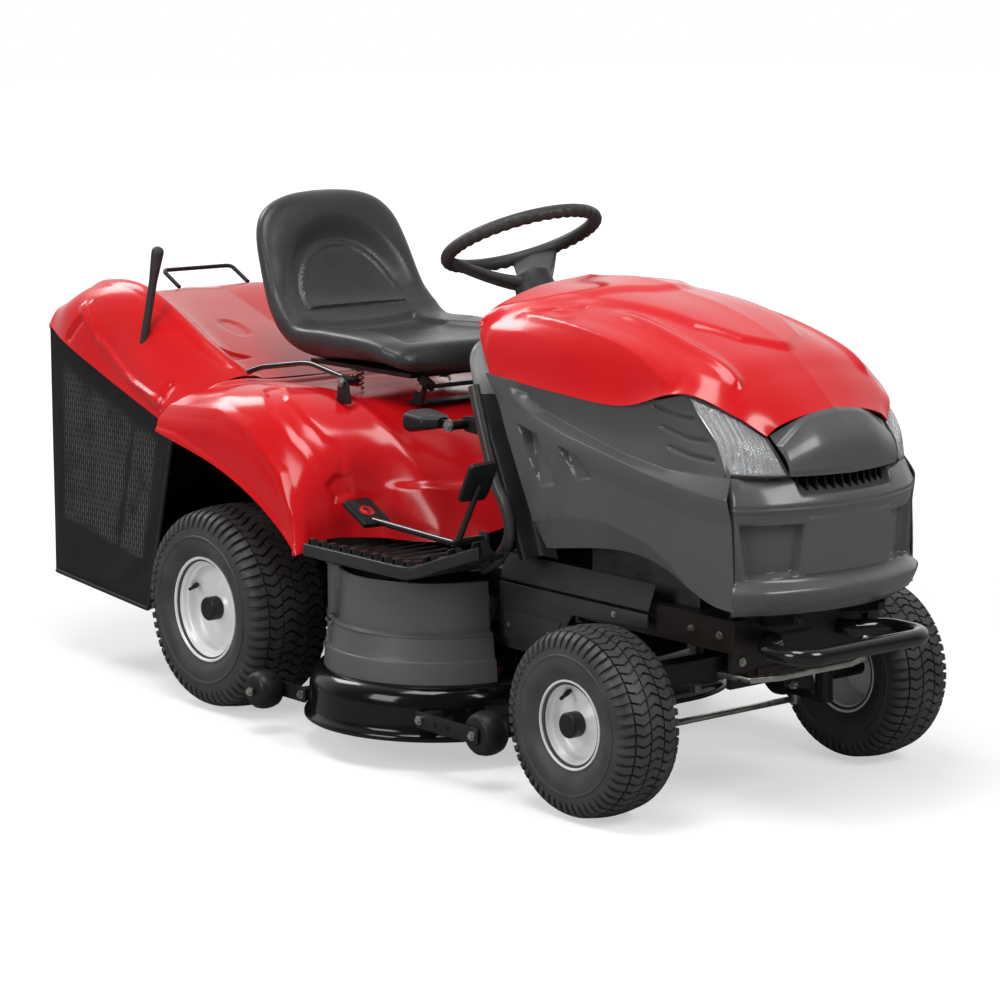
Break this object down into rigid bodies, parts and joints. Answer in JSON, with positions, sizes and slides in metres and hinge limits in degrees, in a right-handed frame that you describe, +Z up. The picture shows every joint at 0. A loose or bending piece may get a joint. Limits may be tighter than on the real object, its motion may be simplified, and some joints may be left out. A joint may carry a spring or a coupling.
{
  "type": "riding lawn mower",
  "caption": "Ride-on lawn mower with an opening bonnet, steered front wheels, tilting seat, lifting twin-blade cutting deck and a tipping rear grass collector.",
  "frame": {"origin": "on the ground, halfway along and across the machine", "axes": "+X forward along the machine, +Y to the driver's left, +Z up"},
  "size_m": [2.3199, 1.0636, 1.1411],
  "materials": {
    "frame_paint": "satin black paint",
    "deck_paint": "gloss black paint",
    "rim_paint": "silver paint",
    "engine_alloy": "cast, painted dark",
    "muffler_steel": "heat-stained",
    "bare_steel": "machined",
    "zinc_steel": "zinc plated",
    "spring_steel": "yellow passivated",
    "red_gloss": "gloss",
    "grey_gloss": "semi-gloss",
    "dark_plastic": "fine grain",
    "black_plastic": "fine grain",
    "tank_plastic": "natural",
    "clear_lens": "clear, ribbed",
    "tyre_rubber": "turf tread",
    "belt_rubber": "matte",
    "seat_vinyl": "embossed vinyl",
    "bag_fabric": "open mesh"
  },
  "bodies": {
    "chassis": {"chassis_frame": "frame_paint", "rear_fender": "red_gloss", "footboard_right": "black_plastic", "footboard_left": "black_plastic", "dash_tower": "black_plastic", "engine": "engine_alloy", "muffler": "muffler_steel", "fuel_tank": "tank_plastic", "transaxle": "engine_alloy", "front_bumper": "frame_paint", "side_guard_right": "dark_plastic", "side_guard_left": "dark_plastic", "seat_bracket": "zinc_steel", "seat_spring_right": "spring_steel", "seat_spring_left": "spring_steel", "discharge_chute": "black_plastic"},
    "steering": {"steering_wheel": "black_plastic", "steering_shaft": "bare_steel"},
    "front_axle": {"front_axle_beam": "frame_paint"},
    "right_knuckle": {"knuckle_right": "frame_paint"},
    "left_knuckle": {"knuckle_left": "frame_paint"},
    "steering_link": {"tie_rod": "zinc_steel"},
    "front_wheel_right": {"front_rim_right": "rim_paint", "front_tyre_right": "tyre_rubber"},
    "front_wheel_left": {"front_rim_left": "rim_paint", "front_tyre_left": "tyre_rubber"},
    "rear_wheel_right": {"rear_rim_right": "rim_paint", "rear_tyre_right": "tyre_rubber"},
    "rear_wheel_left": {"rear_rim_left": "rim_paint", "rear_tyre_left": "tyre_rubber"},
    "deck": {"deck_shell": "deck_paint", "deck_guard_right": "dark_plastic", "deck_guard_left": "dark_plastic", "deck_belt": "belt_rubber"},
    "right_blade": {"blade_right": "bare_steel", "blade_spindle_right": "bare_steel"},
    "left_blade": {"blade_left": "bare_steel", "blade_spindle_left": "bare_steel"},
    "roller_rear_right": {"rear_roller_right": "black_plastic"},
    "roller_rear_left": {"rear_roller_left": "black_plastic"},
    "roller_front_right": {"front_roller_right": "black_plastic"},
    "roller_front_left": {"front_roller_left": "black_plastic"},
    "bonnet": {"hood_top": "red_gloss", "hood_side_right": "grey_gloss", "hood_side_left": "grey_gloss", "front_fascia": "grey_gloss", "nose_cap": "grey_gloss", "headlamp_lens_right": "clear_lens", "headlamp_lens_left": "clear_lens"},
    "seat": {"seat_cushion": "seat_vinyl", "seat_pan": "frame_paint"},
    "collector": {"collector_cover": "red_gloss", "grass_bag": "bag_fabric", "collector_handle": "frame_paint"},
    "tip_lever": {"tipping_lever": "dark_plastic"},
    "drive_rocker": {"drive_pedal": "frame_paint"},
    "brake": {"brake_pedal": "frame_paint"},
    "clutch_lever": {"blade_lever": "black_plastic"},
    "height_lever": {"deck_lift_lever": "frame_paint"},
    "crankshaft": {"crankshaft_pulley": "bare_steel"}
  },
  "joints": [
    {"name": "steering_turn", "type": "hinge", "parent": "chassis", "child": "steering", "pos_m": [0.105, 0, 1.06], "axis": [-0.4226, 0, 0.9063], "range_deg": [-160, 160]},
    {"name": "axle_pivot", "type": "hinge", "parent": "chassis", "child": "front_axle", "pos_m": [0.77, 0, 0.25387], "axis": [1, 0, 0], "range_deg": [-6, 6]},
    {"name": "kingpin_right", "type": "hinge", "parent": "front_axle", "child": "right_knuckle", "pos_m": [0.77, -0.262, 0.18887], "axis": [0, 0, 1], "range_deg": [-32, 32]},
    {"name": "kingpin_left", "type": "hinge", "parent": "front_axle", "child": "left_knuckle", "pos_m": [0.77, 0.262, 0.18887], "axis": [0, 0, 1], "range_deg": [-32, 32]},
    {"name": "tie_rod_eye", "type": "hinge", "parent": "right_knuckle", "child": "steering_link", "pos_m": [0.685, -0.262, 0.121], "axis": [0, 0, 1], "range_deg": [-32, 32]},
    {"name": "front_wheel_right_spin", "type": "hinge", "parent": "right_knuckle", "child": "front_wheel_right", "pos_m": [0.77, -0.376, 0.18887], "axis": [0, 1, 0], "continuous": true},
    {"name": "front_wheel_left_spin", "type": "hinge", "parent": "left_knuckle", "child": "front_wheel_left", "pos_m": [0.77, 0.376, 0.18887], "axis": [0, 1, 0], "continuous": true},
    {"name": "rear_wheel_right_spin", "type": "hinge", "parent": "chassis", "child": "rear_wheel_right", "pos_m": [-0.44, -0.365, 0.22655], "axis": [0, 1, 0], "continuous": true},
    {"name": "rear_wheel_left_spin", "type": "hinge", "parent": "chassis", "child": "rear_wheel_left", "pos_m": [-0.44, 0.365, 0.22655], "axis": [0, 1, 0], "continuous": true},
    {"name": "deck_lift", "type": "slide", "parent": "chassis", "child": "deck", "axis": [0, 0, 1], "range_m": [-0.05, 0]},
    {"name": "blade_right_spin", "type": "hinge", "parent": "deck", "child": "right_blade", "pos_m": [0.11, -0.235, 0.0805], "axis": [0, 0, 1], "continuous": true},
    {"name": "blade_left_spin", "type": "hinge", "parent": "deck", "child": "left_blade", "pos_m": [0.11, 0.235, 0.0805], "axis": [0, 0, 1], "continuous": true},
    {"name": "rear_roller_right_spin", "type": "hinge", "parent": "deck", "child": "roller_rear_right", "pos_m": [-0.168, -0.4895, 0.1], "axis": [0, 1, 0], "continuous": true},
    {"name": "rear_roller_left_spin", "type": "hinge", "parent": "deck", "child": "roller_rear_left", "pos_m": [-0.168, 0.4895, 0.1], "axis": [0, 1, 0], "continuous": true},
    {"name": "front_roller_right_spin", "type": "hinge", "parent": "deck", "child": "roller_front_right", "pos_m": [0.495, -0.4175, 0.118], "axis": [0, 1, 0], "continuous": true},
    {"name": "front_roller_left_spin", "type": "hinge", "parent": "deck", "child": "roller_front_left", "pos_m": [0.495, 0.4175, 0.118], "axis": [0, 1, 0], "continuous": true},
    {"name": "bonnet_hinge", "type": "hinge", "parent": "chassis", "child": "bonnet", "pos_m": [1.06, 0, 0.4], "axis": [0, 1, 0], "range_deg": [0, 60]},
    {"name": "seat_hinge", "type": "hinge", "parent": "chassis", "child": "seat", "pos_m": [-0.055, 0, 0.735], "axis": [0, 1, 0], "range_deg": [0, 45]},
    {"name": "collector_hinge", "type": "hinge", "parent": "chassis", "child": "collector", "pos_m": [-0.58, 0, 0.69], "axis": [0, 1, 0], "range_deg": [0, 55]},
    {"name": "tipping_lever_slide", "type": "slide", "parent": "collector", "child": "tip_lever", "axis": [0.2897, 0, 0.9571], "range_m": [-0.12, 0]},
    {"name": "drive_pedal_rock", "type": "hinge", "parent": "chassis", "child": "drive_rocker", "pos_m": [0.335, -0.372, 0.478], "axis": [0, 1, 0], "range_deg": [-10, 10], "stiffness_Nm_per_rad": 20},
    {"name": "brake_pedal_press", "type": "hinge", "parent": "chassis", "child": "brake", "pos_m": [0.335, 0.372, 0.478], "axis": [0, 1, 0], "range_deg": [0, 20], "stiffness_Nm_per_rad": 20, "springref_deg": -5.73},
    {"name": "blade_lever_turn", "type": "hinge", "parent": "chassis", "child": "clutch_lever", "pos_m": [0.235, -0.292, 0.7], "axis": [0, 1, 0], "range_deg": [0, 35]},
    {"name": "height_lever_turn", "type": "hinge", "parent": "chassis", "child": "height_lever", "pos_m": [-0.14, -0.27, 0.752], "axis": [0, 1, 0], "range_deg": [0, 35]},
    {"name": "crankshaft_spin", "type": "hinge", "parent": "chassis", "child": "crankshaft", "pos_m": [0.66, 0, 0.2], "axis": [0, 0, 1], "continuous": true}
  ],
  "couplings": [
    {"joint": "kingpin_right", "follows": "steering_turn", "ratio": 0.2},
    {"joint": "kingpin_left", "follows": "steering_turn", "ratio": 0.2},
    {"joint": "tie_rod_eye", "follows": "steering_turn", "ratio": -0.2},
    {"joint": "blade_left_spin", "follows": "blade_right_spin", "ratio": 1},
    {"joint": "height_lever_turn", "follows": "deck_lift", "rad_per_m": -12.2}
  ]
}
